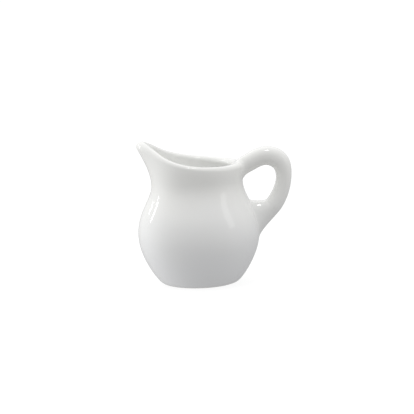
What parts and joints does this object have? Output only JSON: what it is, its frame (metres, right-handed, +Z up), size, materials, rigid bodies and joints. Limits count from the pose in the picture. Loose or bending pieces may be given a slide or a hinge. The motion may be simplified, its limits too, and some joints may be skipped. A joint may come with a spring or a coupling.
{
  "type": "cream jug",
  "caption": "Small round-bellied porcelain cream jug with a waisted neck, a pulled spout and a loop handle luted on with slip.",
  "frame": {"origin": "under the middle of the whole jug's box, on the surface that its foot stands on; the body's own axis is 7.8 mm towards the spout", "axes": "+X from the spout to the handle, +Y across the jug, +Z up"},
  "size_m": [0.0706, 0.0552, 0.0656],
  "materials": {
    "glazed_porcelain": "gloss",
    "glazed_slip": "gloss"
  },
  "bodies": {
    "root": {"body": "glazed_porcelain", "handle": "glazed_porcelain", "upper_slip_joint": "glazed_slip", "lower_slip_joint": "glazed_slip"}
  },
  "joints": []
}
